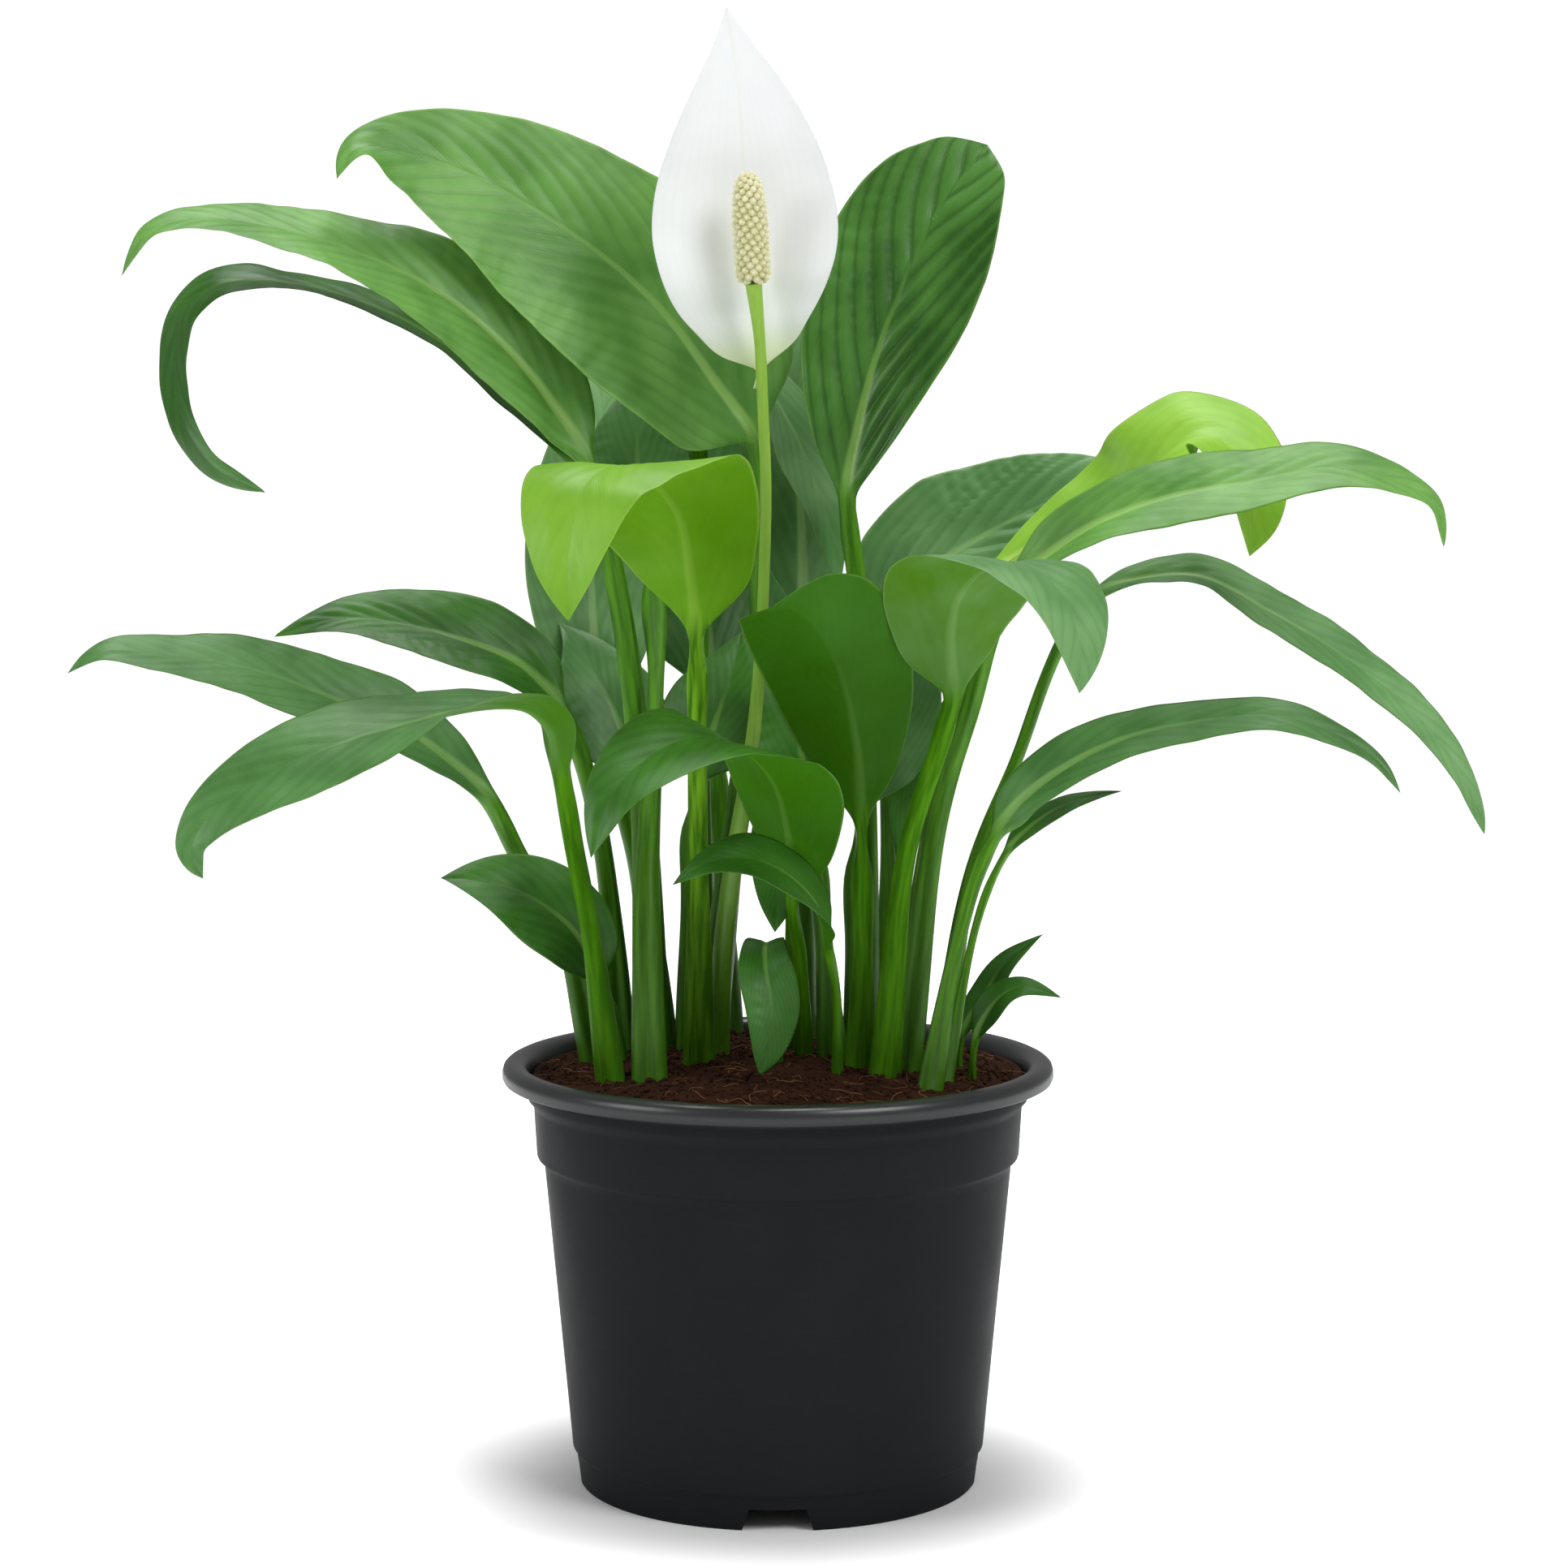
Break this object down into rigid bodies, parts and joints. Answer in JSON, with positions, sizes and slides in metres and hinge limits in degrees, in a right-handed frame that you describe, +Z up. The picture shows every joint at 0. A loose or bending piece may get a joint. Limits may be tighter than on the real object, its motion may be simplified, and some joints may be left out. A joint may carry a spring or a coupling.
{
  "type": "potted peace lily",
  "caption": "Flowering peace lily with one white spathe, arching leaves on long stalks, and potting soil in a round tapered nursery pot.",
  "frame": {"origin": "centre of the pot's foot, on the surface it stands on", "axes": "+Z up; -Y towards the side the flower faces; +X to the right seen from that side"},
  "size_m": [0.4772, 0.2501, 0.503],
  "materials": {
    "pot_plastic": "charcoal black moulded polypropylene, satin on the rim and matt on the wall",
    "potting_soil": "moist dark red-brown peat and coir crumbs",
    "flower_stalk": "smooth yellow-green stalk",
    "spathe": "white waxy bract",
    "spadix": "cream, covered in small bumpy florets",
    "mature_leaf": "dark green satin leaf with a sunk midrib and curved side veins",
    "mid_leaf": "mid green satin leaf",
    "young_leaf": "lime green young leaf"
  },
  "bodies": {
    "root": {"nursery_pot": "pot_plastic", "potting_soil": "potting_soil", "flower_stalk": "flower_stalk", "spathe": "spathe", "spadix": "spadix", "leaf_left_top_broad": "mid_leaf", "leaf_left_upper_long": "mid_leaf", "leaf_left_strap_hooked": "mature_leaf", "leaf_right_top_upright": "mature_leaf", "leaf_back_upright": "mid_leaf", "leaf_back_arching": "mature_leaf", "leaf_left_lime_folded": "young_leaf", "leaf_left_mid_short": "mature_leaf", "leaf_left_low_long": "mature_leaf", "leaf_left_front_drooping": "mid_leaf", "leaf_left_low_small": "mature_leaf", "leaf_front_centre_folded": "mature_leaf", "leaf_front_small_arching": "mature_leaf", "leaf_front_hanging": "mature_leaf", "leaf_front_dark_hanging": "mature_leaf", "leaf_front_right_upright": "mature_leaf", "leaf_right_back_broad": "mature_leaf", "leaf_right_lime_folded": "young_leaf", "leaf_right_long": "mid_leaf", "leaf_right_front_folded": "mid_leaf", "leaf_right_drooping": "mid_leaf", "leaf_right_low_strap": "mature_leaf", "leaf_right_low_small": "mature_leaf", "leaf_shoot_upper": "mature_leaf", "leaf_shoot_lower": "mature_leaf", "leaf_back_left_broad": "mature_leaf", "leaf_back_left_low": "mature_leaf", "leaf_back_centre_broad": "mature_leaf", "leaf_back_centre_low": "mature_leaf", "leaf_back_right_low": "mature_leaf", "leaf_back_right_narrow": "mature_leaf", "leaf_right_centre_flap": "mid_leaf", "leaf_left_back_short": "mature_leaf"}
  },
  "joints": []
}
